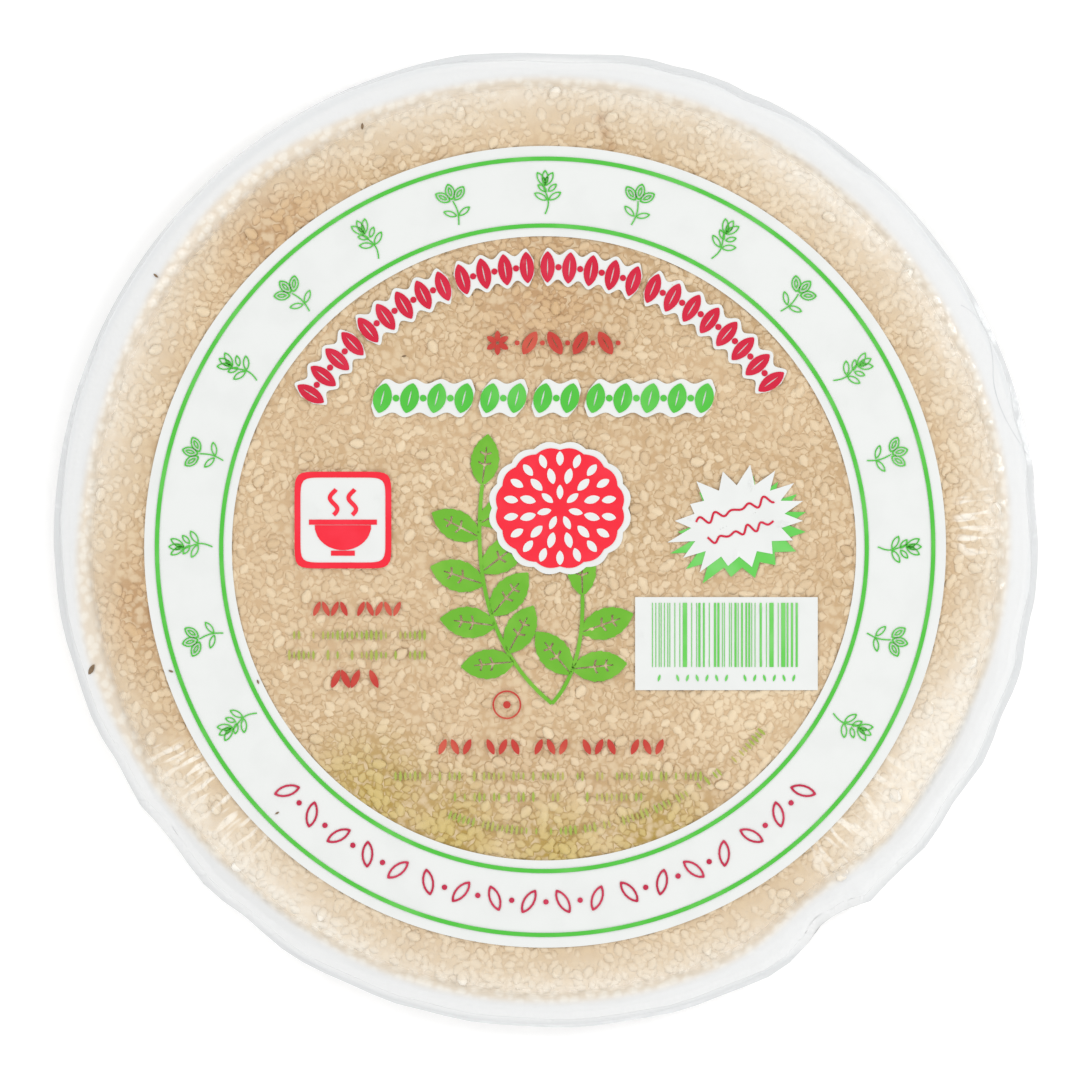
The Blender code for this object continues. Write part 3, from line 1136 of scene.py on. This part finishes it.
# %% Draw a sprig and a cluster, and copy them round
STROKE = 0.00027
MOTIF_COUNT = 17
MOTIF_STEP = 15  # degrees, as is the start
MOTIF_START = -30
MOTIF_RADIUS = 0.0836
MOTIF_SIZE = 1.12


def pointed(length, width):
    """A pointed oval along Y."""

    def outline(turn):
        across = 0.5 * width * math.cos(turn) * abs(math.cos(turn)) ** 0.5
        return spot(across, 0.5 * length * math.sin(turn))

    return outline


def leaf_line(length, width, stroke=STROKE):
    """The outline of a leaf as a thin band."""
    inner = pointed(length - 3 * stroke, width - 2 * stroke)
    return between("leaf_line", inner, pointed(length, width), 1, 16)


def grain(length, width, furrow=0.14):
    """A filled pointed oval with a slit along its middle."""
    return between("grain", pointed(0.56 * length, furrow * width), pointed(length, width), 4, 24)


def tip_way(turn):
    """The direction in which an upright mark's tip points once it is turned."""
    return spot(-math.sin(turn), math.cos(turn))


def fan(mark, base, reach, degrees):
    """Copies of a mark round a base point, each turned and pushed out along its turn."""
    turns = [math.radians(degree) for degree in degrees]
    return copies(mark, [(base + reach * tip_way(turn), turn, 1) for turn in turns])


def stalk(foot, height, sway, bend):
    """An upright stroke that sways aside."""

    def path(share):
        return spot(sway * math.sin(bend * share), height * share + foot)

    return ribbon("stalk", path, STROKE, 8)


def sprig():
    """A stalk with two pairs of leaves and a bud, drawn in lines, 9 mm high."""
    stem = stalk(-0.0047, 0.0062, 0.0007, 4)
    leaves = fan(leaf_line(0.0032, 0.0014), spot(0.0006, -0.0018), 0.0017, (-58, 62))
    small_leaves = fan(leaf_line(0.0025, 0.0012), spot(0.0005, -0.0001), 0.0014, (-48, 52))
    bud = fan(leaf_line(0.0034, 0.0015), spot(0.0, 0.0012), 0.0017, (-30, 0, 30))
    heart = fan(grain(0.0017, 0.0008, 0.3), spot(0.0, 0.0020), 0.0005, (-24, 24))
    return join([stem, *leaves, *small_leaves, *bud, *heart], "sprig")


def cluster():
    """Three seeds on a stalk over two leaves, drawn in lines."""
    stem = stalk(-0.0046, 0.0052, 0.0005, 3)
    leaves = fan(leaf_line(0.0031, 0.0013), spot(0.0003, -0.0028), 0.0017, (-66, 58))
    seeds = fan(leaf_line(0.0036, 0.0021), spot(0.0, 0.0002), 0.0024, (-48, 0, 48))
    furrows = fan(leaf_line(0.0021, 0.0009), spot(0.0, 0.0002), 0.0024, (-48, 0, 48))
    return join([stem, *leaves, *seeds, *furrows], "cluster")


def round_the_ring(first):
    """Every second place on the ring, from the first, with its turn."""
    for number in range(first, MOTIF_COUNT, 2):
        angle = math.radians(MOTIF_START + MOTIF_STEP * number)
        yield RING_CENTRE + MOTIF_RADIUS * towards(angle), angle - 0.5 * math.pi, MOTIF_SIZE


motifs = copies(sprig(), round_the_ring(0)) + copies(cluster(), round_the_ring(1))
print_on_film("print_sprigs", motifs, COLOUR_LIFT, green_ink, "green_print")

# %% [markdown]
# ### Rows of marks
#
# Rows of leaves and beads fill the places of words. Marks stand evenly along an arc or a straight line, in
# groups with a gap between. The helpers give a row's places, so that one drawn mark can be copied along it.
# A row is a function from a share of its length to a point and a turn. Rows on the clear window have a white
# backing, whose edge swells round each leaf.

# %% Helpers for rows
GROUP_GAP = 0.9  # of the distance between marks
ROUNDED = 1.5  # millimetres of a backing's end


def on_arc(radius, start, end):
    """A row along an arc round the ring's middle, from one angle to another in degrees."""
    outwards = 1 if end < start else -1

    def at(share, rise=0.0):
        angle = math.radians(start + share * (end - start))
        point = RING_CENTRE + (radius + outwards * rise) * towards(angle)
        return point, angle - outwards * 0.5 * math.pi

    at.length = radius * math.radians(abs(end - start))
    return at


def on_line(x, y, width, lean=0.0):
    """A straight row round a middle point, with marks that lean to the right by an angle."""

    def at(share, rise=0.0):
        return spot(x + (share - 0.5) * width + rise * math.tan(lean), y + rise), -lean

    at.length = width
    return at


def grouped(counts):
    """The middles of evenly spaced marks in groups, as shares of a row's length."""
    total = sum(counts) + GROUP_GAP * (len(counts) - 1)
    groups = []
    start = 0.0
    for count in counts:
        groups.append([(start + number + 0.5) / total for number in range(count)])
        start += count + GROUP_GAP
    return groups


def along(row, groups, mark, pattern=(1,), lean=0.0):
    """Copies of a mark along a row, leaning by turns. The pattern says which places of a group it takes."""
    places = []
    for group in groups:
        for number, share in enumerate(group):
            if pattern[number % len(pattern)]:
                point, turn = row(share)
                side = 1 if len(places) % 2 else -1
                places.append((point, turn + side * math.radians(lean), 1))
    return copies(mark, places)


def backing(row, group, half, swell, margin):
    """A strip under a group of marks, with round ends and an edge that swells round every second mark."""
    pitch = group[1] - group[0]
    first = group[0] - 0.5 * pitch - margin / row.length
    last = group[-1] + 0.5 * pitch + margin / row.length

    def rule(length_share, width_share):
        share = first + length_share * (last - first)
        wave = 0.5 + 0.5 * math.cos(math.pi * (share - group[0]) / pitch)
        end = min(1.0, 1000 * row.length * min(share - first, last - share) / ROUNDED)
        height = (half + swell * wave) * math.sqrt(0.25 + 0.75 * end)
        return row(share, (2 * width_share - 1) * height)[0]

    return patch("backing", 10 * len(group), 8, rule)


# %% Marks that stand in rows
def bead(size):
    """A round spot."""
    return filled("bead", circle(0.5 * size, Vector()), 2, 12)


def lobe(length, width):
    """A solid pointed oval."""
    return filled("lobe", pointed(length, width), 2, 16)


# %% Draw the rows
TITLE_LEAN = math.radians(14)
VEIN = 0.08  # the width of a leaf's slit, of the leaf's


def leaves_and_beads(row, groups, leaf, bead_size, lean=0.0):
    """Leaves and beads by turns along a row."""
    return along(row, groups, leaf, (1, 0), lean) + along(row, groups, bead(bead_size), (0, 1))


arc_row = on_arc(0.0659, 148, 35)
arc_groups = grouped((7, 9, 7, 9, 15))
title_row = on_line(-0.0006, 0.0334, 0.0790, TITLE_LEAN)
title_groups = grouped((7, 3, 3, 9))
ring_row = on_arc(MOTIF_RADIUS, 222, 318)
ring_groups = grouped((9, 11, 7, 5))
size_row = on_line(0.0028, 0.0464, 0.0330)

backings = [backing(arc_row, group, 0.0029, 0.0016, 0.0004) for group in arc_groups]
backings += [backing(title_row, group, 0.0034, 0.0011, 0.0006) for group in title_groups]

arc_marks = leaves_and_beads(arc_row, arc_groups, grain(0.0074, 0.0034, VEIN), 0.0015)
title_marks = leaves_and_beads(title_row, title_groups, grain(0.0072, 0.0044, VEIN), 0.0016)
ring_marks = leaves_and_beads(ring_row, ring_groups, leaf_line(0.0064, 0.0028, 0.00050), 0.0013, 28)
rosette = fan(lobe(0.0026, 0.0014), size_row(0.07)[0], 0.0016, range(0, 360, 60))
size_marks = rosette + along(size_row, [[0.30, 0.48, 0.66, 0.84]], grain(0.0062, 0.0030, VEIN), lean=30)
size_marks += along(size_row, [[0.21, 0.39, 0.57, 0.75, 0.93]], bead(0.0012))
print("marks in the rows:", len(arc_marks + title_marks + ring_marks + size_marks))

# %% [markdown]
# ### The medallion and its wreath
#
# A round red medallion fills the middle of the window. Three rings of white drops lie in it, like the cut
# face of a fruit, and a scalloped white edge runs round it. A wreath of green leaves climbs on both sides. A
# leaf is a grid bent by a rule, with faces left out where its midrib and veins are. Leaves that would lie
# over an earlier one are skipped, as two layers of ink at one height would flicker.

# %% Draw the medallion
MEDALLION = spot(0.0033, 0.0075)
MEDALLION_RADIUS = 0.0150
MEDALLION_STRETCH = 1.07  # wider than high
MEDALLION_EDGE = 0.0013
SCALLOPS = 16


def scalloped(radius, depth):
    """A round outline with shallow scallops."""

    def outline(turn):
        reach = radius + depth * abs(math.sin(0.5 * SCALLOPS * turn))
        return spot(MEDALLION_STRETCH * reach * math.cos(turn), reach * math.sin(turn))

    return outline


def moved(mark, point, turn=0.0):
    """Moves a flat mark, and turns it first."""
    mark.location = point
    mark.rotation_euler.z = turn
    return settle(mark, mark.name)


def drop_ring(count, reach, length, width, offset=0.0):
    """White drops round the medallion's middle."""
    degrees = [360 * (number + offset) / count for number in range(count)]
    return fan(filled("drop", pointed(length, width), 3, 16), MEDALLION, reach, degrees)


edge_outline = scalloped(MEDALLION_RADIUS, 0.0008)
field_outline = scalloped(MEDALLION_RADIUS - MEDALLION_EDGE, 0.0006)
medallion_edge = moved(filled("edge", edge_outline, 14, 128), MEDALLION)
medallion_field = moved(filled("field", field_outline, 14, 128), MEDALLION)
drops = drop_ring(7, 0.0038, 0.0034, 0.0016)
drops += drop_ring(12, 0.0078, 0.0038, 0.0019, 0.5)
drops += drop_ring(18, 0.0117, 0.0034, 0.0018)
print("drops:", len(drops))

# %% Draw the wreath
LEAF_LENGTH = 0.0134
LEAF_WIDTH = 0.0086
LEAF_SPACE = 0.0084  # between the middles of leaves
TEETH = 6
LEAF_STEPS = 24
LEAF_ROWS = 15
VEINS = (0.38, 0.60)  # shares of the leaf's length
VEIN_REACH = 0.50  # of the way to the edge
MIDRIB_FROM = 0.04  # shares of the leaf's length
MIDRIB_REACH = 0.76
TWIG_WIDTH = 0.0009
LEAF_SPREAD = math.radians(62)  # between a leaf and its branch


def make_leaf():
    """A leaf along Y with a toothed edge. Slits stand for its midrib and veins."""

    def rule(length_share, width_share):
        side = 2 * width_share - 1
        within = min(0.985, max(0.015, length_share))
        swell = 2.2 * within**0.55 * (1 - within) ** 0.9
        tooth = 1 + 0.09 * ((TEETH * length_share) % 1.0) * abs(side)
        sweep = 0.12 * abs(side) * swell
        return spot(0.5 * LEAF_WIDTH * swell * tooth * side, LEAF_LENGTH * (length_share + sweep))

    def slit(length_share, width_share):
        from_midrib = abs(2 * width_share - 1)
        if from_midrib < 1 / LEAF_ROWS:
            return MIDRIB_FROM < length_share < MIDRIB_REACH
        on_vein = any(abs(length_share - at) < 0.5 / LEAF_STEPS for at in VEINS)
        return on_vein and from_midrib < VEIN_REACH

    return patch("leaf", LEAF_STEPS, LEAF_ROWS, rule, slit)


def bezier(start, bend, end):
    """A curve from start to end that is drawn towards a bend."""
    return lambda share: (1 - share) ** 2 * start + 2 * share * (1 - share) * bend + share**2 * end


WREATH_FOOT = spot(0.0014, -0.0385)
left_branch = bezier(WREATH_FOOT, spot(-0.0190, -0.0220), spot(-0.0150, 0.0130))
right_branch = bezier(WREATH_FOOT, spot(0.0090, -0.0305), spot(0.0086, -0.0130))


def leaf_places(branch, count, first):
    """Places for leaves on both sides of a branch, and one at its end."""
    for number in range(count):
        share = first + (1 - first) * number / (count - 1)
        ahead = branch(share + 0.01) - branch(share - 0.01)
        heading = math.atan2(-ahead.x, ahead.y)
        size = 1.0 - 0.25 * abs(share - 0.55)
        if number == count - 1:
            yield branch(share), heading, size
        else:
            yield branch(share), heading + LEAF_SPREAD, size
            yield branch(share + 0.05), heading - LEAF_SPREAD, size


def not_crowded(places):
    """The places whose leaves don't lie over an earlier one."""
    taken = []
    for point, turn, size in places:
        middle = point + 0.5 * LEAF_LENGTH * size * tip_way(turn)
        if all((middle - other).length > LEAF_SPACE for other in taken):
            taken.append(middle)
            yield point, turn, size


leaves = not_crowded([*leaf_places(left_branch, 5, 0.26), *leaf_places(right_branch, 3, 0.36)])
wreath = copies(make_leaf(), leaves)
print("leaves:", len(wreath))
wreath += [ribbon("twig", branch, TWIG_WIDTH, 24) for branch in (left_branch, right_branch)]

# %% [markdown]
# ### The badge, the star and the panel
#
# A badge with a steaming bowl stands at the left, a white star with a green shadow at the right, and under
# it a white panel with green stripes. The badge is a superellipse, whose one formula gives a square with
# round corners. The star's spikes have random lengths from a fixed seed, so that they are uneven as if cut
# by hand.

# %% Draw the badge
BADGE = spot(-0.0478, 0.0047)
BADGE_HALF = 0.0114
BADGE_OUTLINE = 0.0014
UNDER_OUTLINE = 0.0002  # the white ground ends this far inside the red frame's edge
CORNER_POWER = 9
BOWL_HALF = 0.0066
BOWL_DEPTH = 0.0058
BOWL_TOP = -0.0012
STEAM_WIDTH = 0.0010


def square(half):
    """A square outline with round corners."""

    def outline(turn):
        across, upwards = abs(math.cos(turn)), abs(math.sin(turn))
        reach = (across**CORNER_POWER + upwards**CORNER_POWER) ** (-1 / CORNER_POWER)
        return half * reach * towards(turn)

    return outline


def bowl():
    """A bowl with a rim, a foot and two curls of steam, round the badge's middle."""

    def body_rule(length_share, width_share):
        side = 2 * length_share - 1
        return spot(BOWL_HALF * side, BOWL_TOP - width_share * BOWL_DEPTH * math.sqrt(1.03 - side * side))

    def bar(width, low, height, steps):
        return patch("bar", steps, 2, lambda a, b: spot(width * (a - 0.5), low + height * b))

    def steam(x):
        def curl(share):
            return spot(x + 0.0009 * math.sin(7 * share), 0.0012 + 0.0060 * share)

        return ribbon("steam", curl, STEAM_WIDTH, 16)

    body = patch("bowl", 24, 8, body_rule)
    rim = bar(0.0160, -0.0011, 0.0012, 24)
    foot_bar = bar(0.0056, -0.0084, 0.0012, 8)
    return moved(join([body, rim, foot_bar, steam(-0.0022), steam(0.0022)], "bowl"), BADGE)


frame_outlines = (square(BADGE_HALF - BADGE_OUTLINE), square(BADGE_HALF))
badge_ground = moved(filled("badge_ground", square(BADGE_HALF - UNDER_OUTLINE), 10, 96), BADGE)
badge_frame = moved(between("badge_frame", *frame_outlines, 2, 96), BADGE)
badge_bowl = bowl()
print("faces in the bowl:", len(badge_bowl.data.polygons))

# %% Draw the star
STAR = spot(0.0452, 0.0045)
STAR_SHADOW = spot(0.0007, -0.0026)
STAR_REACH = spot(0.0160, 0.0118)
STAR_TILT = math.radians(17)
SPIKES = 16
VALLEY = 0.70
star_draw = random.Random(5)
spike_lengths = [star_draw.uniform(0.84, 1.10) for _ in range(SPIKES)]


def star_outline(turn):
    """An outline that runs straight from spike to valley to spike."""
    step = (turn / (2 * math.pi) % 1.0) * SPIKES
    number = int(step)
    part = step - number
    tip, next_tip = number % SPIKES, (number + 1) % SPIKES

    def point(at, reach):
        angle = 2 * math.pi * at / SPIKES
        return reach * spot(STAR_REACH.x * math.cos(angle), STAR_REACH.y * math.sin(angle))

    valley = point(number + 0.5, VALLEY)
    if part < 0.5:
        return point(number, spike_lengths[tip]).lerp(valley, 2 * part)
    return valley.lerp(point(number + 1, spike_lengths[next_tip]), 2 * part - 1)


def squiggle(y, width, phase):
    """A wavy stroke across the star."""

    def path(share):
        height = 0.0011 * math.sin(30 * share + phase) * (0.6 + 0.4 * math.sin(9 * share + phase))
        return spot(width * (share - 0.5), y + height)

    return moved(ribbon("squiggle", path, 0.0005, 90), STAR, STAR_TILT)


star = moved(filled("star", star_outline, 9, 256), STAR, STAR_TILT)
star_shadow = moved(filled("star_shadow", star_outline, 9, 256), STAR + STAR_SHADOW, STAR_TILT)
squiggles = [squiggle(0.0026, 0.0190, 0.0), squiggle(-0.0026, 0.0160, 2.0)]
print("the star's spikes:", [round(length, 2) for length in spike_lengths])

# %% Draw the striped panel
PANEL = spot(0.0425, -0.0244)
PANEL_SIZE = spot(0.0430, 0.0219)
STRIPES_FROM = 0.0250
STRIPES_TO = 0.0598
STRIPE_TOP = -0.0148
STRIPE_FOOT = -0.0299
STRIPE_WIDTHS = (0.00018, 0.00018, 0.00018, 0.00018, 0.0004, 0.0005, 0.0010)
STRIPE_GAPS = (0.0003, 0.0006, 0.0006, 0.0010)


def box(name, left, right, low, high, steps):
    """A flat rectangle of quads."""
    return patch(name, *steps, lambda a, b: spot(left + a * (right - left), low + b * (high - low)))


def stripes():
    """Upright stripes with widths and gaps drawn from a few sizes."""
    draw = random.Random(8)
    left = STRIPES_FROM
    while left < STRIPES_TO:
        right = left + draw.choice(STRIPE_WIDTHS)
        yield box("stripe", left, right, STRIPE_FOOT, STRIPE_TOP, (1, 40))
        left = right + draw.choice(STRIPE_GAPS)


half_panel = 0.5 * PANEL_SIZE
low_corner, high_corner = PANEL - half_panel, PANEL + half_panel
panel = box("panel", low_corner.x, high_corner.x, low_corner.y, high_corner.y, (54, 27))
panel_stripes = list(stripes())
print("stripes:", len(panel_stripes))

# %% [markdown]
# ### Small rows on the clear film
#
# Under the badge and across the foot of the window run small rows in red, and still smaller ones in a thin
# green that nearly fades into the sheets behind. Short strokes stand for them, with gaps left at random
# where the ink didn't take. A small ring with a dot stands beside the wreath's foot.

# %% Draw the small rows
FAINT_STROKE = (0.0024, 0.0007)
FAINT_PITCH = 0.00115
STROKES_MISSED = 0.3  # of all the places of a faint row
RINGLET = spot(-0.0092, -0.0388)
RINGLET_RADIUS = 0.0034
RINGLET_STROKE = 0.0004


def small_row(row, counts, length, width):
    """A row of small lobes that lean to and fro."""
    return along(row, grouped(counts), lobe(length, width), lean=24)


def faint_row(row, pitch, draw):
    """A row of short strokes with gaps left at random."""
    count = round(row.length / pitch)
    places = []
    for number in range(count):
        if draw.random() > STROKES_MISSED:
            places.append((*row((number + 0.5) / count), draw.uniform(0.7, 1.1)))
    return copies(filled("stroke", pointed(*FAINT_STROKE), 1, 8), places)


small_marks = small_row(on_line(-0.0445, -0.0162, 0.0210), (4, 5), 0.0038, 0.0013)
small_marks += small_row(on_line(-0.0450, -0.0327, 0.0113), (3, 1), 0.0047, 0.0017)
small_marks += small_row(on_line(0.0012, -0.0487, 0.0540), (3, 3, 3, 3, 3), 0.0040, 0.0016)
ringlet_radii = (RINGLET_RADIUS - RINGLET_STROKE, RINGLET_RADIUS)
ringlet = between("ringlet", *(circle(radius, RINGLET) for radius in ringlet_radii), 1, 48)
small_marks += [ringlet, moved(bead(0.0018), RINGLET)]
panel_ticks = along(on_line(PANEL.x, -0.0325, 0.0340), grouped((1, 6, 6)), lobe(0.0017, 0.0006), lean=16)
faint_draw = random.Random(3)
faint_rows = [
    on_line(-0.0445, -0.0224, 0.0330),
    on_line(-0.0445, -0.0271, 0.0330),
    on_line(0.0005, -0.0556, 0.0730),
    on_line(0.0005, -0.0605, 0.0450),
    on_arc(0.0670, 250, 320),
]
faint_marks = [mark for row in faint_rows for mark in faint_row(row, FAINT_PITCH, faint_draw)]
print("small marks:", len(small_marks), "faint strokes:", len(faint_marks))

# %% Print all of them
white_marks = [*backings, medallion_edge, badge_ground, star, panel]
LAYERS = (
    ("print_star_shadow", [star_shadow], UNDER_LIFT, pale_green_ink, "green_print"),
    ("print_wreath", wreath, UNDER_LIFT, leaf_ink, "green_print"),
    ("print_white", white_marks, WHITE_LIFT, white_ink, "white_print"),
    ("print_medallion", [medallion_field], COLOUR_LIFT, red_ink, "red_print"),
    ("print_drops", drops, DROPS_LIFT, white_ink, "white_print"),
    ("print_stripes", panel_stripes + panel_ticks, COLOUR_LIFT, pale_green_ink, "green_print"),
    ("print_title", title_marks, COLOUR_LIFT, green_ink, "green_print"),
    ("print_arc_row", arc_marks + squiggles, COLOUR_LIFT, deep_red_ink, "red_print"),
    ("print_red", [badge_frame, badge_bowl], COLOUR_LIFT, red_ink, "red_print"),
    ("print_small_rows", size_marks + small_marks, COLOUR_LIFT, thin_red_ink, "red_print"),
    ("print_ring_row", ring_marks, COLOUR_LIFT, wine_ink, "red_print"),
    ("print_faint", faint_marks, COLOUR_LIFT, faint_ink, "green_print"),
)
for layer in LAYERS:
    print_on_film(*layer)

# %% [markdown]
# ## The crease's painted shade, and the specks
#
# One long crease runs down the right side, where the film was folded over. Its shade is painted: a thin
# grey strip along two curves, laid point by point on the film by casting rays down. A Shrinkwrap would do
# as well, but the rays are already there for the raised seeds.

# %% Draw the painted shade of the long crease
CREASE_WIDTH = 0.00024
CREASE_LIFT = 0.00002
CREASE_THICKNESS = 0.00005


def fold_shade_finish():
    """The painted shade of a fold: a grey, uneven along its length."""
    look = Recipe("film_crease", 0.25)
    # A grey strip that stands for the fold's shade line: painted shade.
    tone = look.mix(look.noise(0.006), seen(198, 200, 202), seen(224, 225, 226))
    return look.finish(Base_Color=tone)


crease_meeting = spot(0.1056, 0.0400)
crease_paths = (
    bezier(spot(0.0980, 0.0555), spot(0.1059, 0.0520), crease_meeting),
    bezier(crease_meeting, spot(0.1052, 0.0315), spot(0.1146, 0.0195)),
)
crease = join([ribbon("crease", path, CREASE_WIDTH, 40) for path in crease_paths], "film_crease")
for corner in crease.data.vertices:
    corner.co = under_film(corner.co, -CREASE_LIFT)
apply_modifier(crease, "SOLIDIFY", thickness=CREASE_THICKNESS, offset=-1.0)
smooth(crease, 60)
crease.data.materials.append(fold_shade_finish())
hand_in(crease, "clear_film")

# %% [markdown]
# A few dark specks of hull stick to the film. They are small pointed ovals, printed like the ink, because no
# more of them can be seen than that.

# %% Stick the specks on
SPECKS = (  # places and lengths
    (-0.0433, 0.0975, 0.0016),
    (-0.0921, 0.0624, 0.0014),
    (-0.0334, 0.0433, 0.0012),
    (-0.1074, -0.0306, 0.0028),
    (-0.0678, -0.0334, 0.0011),
    (-0.0883, -0.0309, 0.0012),
    (-0.0633, -0.0643, 0.0011),
)
SPECK_TURN = math.radians(50)
SPECK_WIDTH = 0.4  # of its length


def speck_finish():
    """Dark hull with lighter patches."""
    look = Recipe("speck", 0.5)
    return look.finish(Base_Color=look.mix(look.noise(0.0006), seen(104, 80, 54), seen(142, 116, 84)))


specks = []
for number, (x, y, length) in enumerate(SPECKS):
    specks.append(moved(lobe(length, SPECK_WIDTH * length), spot(x, y), SPECK_TURN * number))
print_on_film("specks", specks, COLOUR_LIFT, speck_finish(), "sesame")
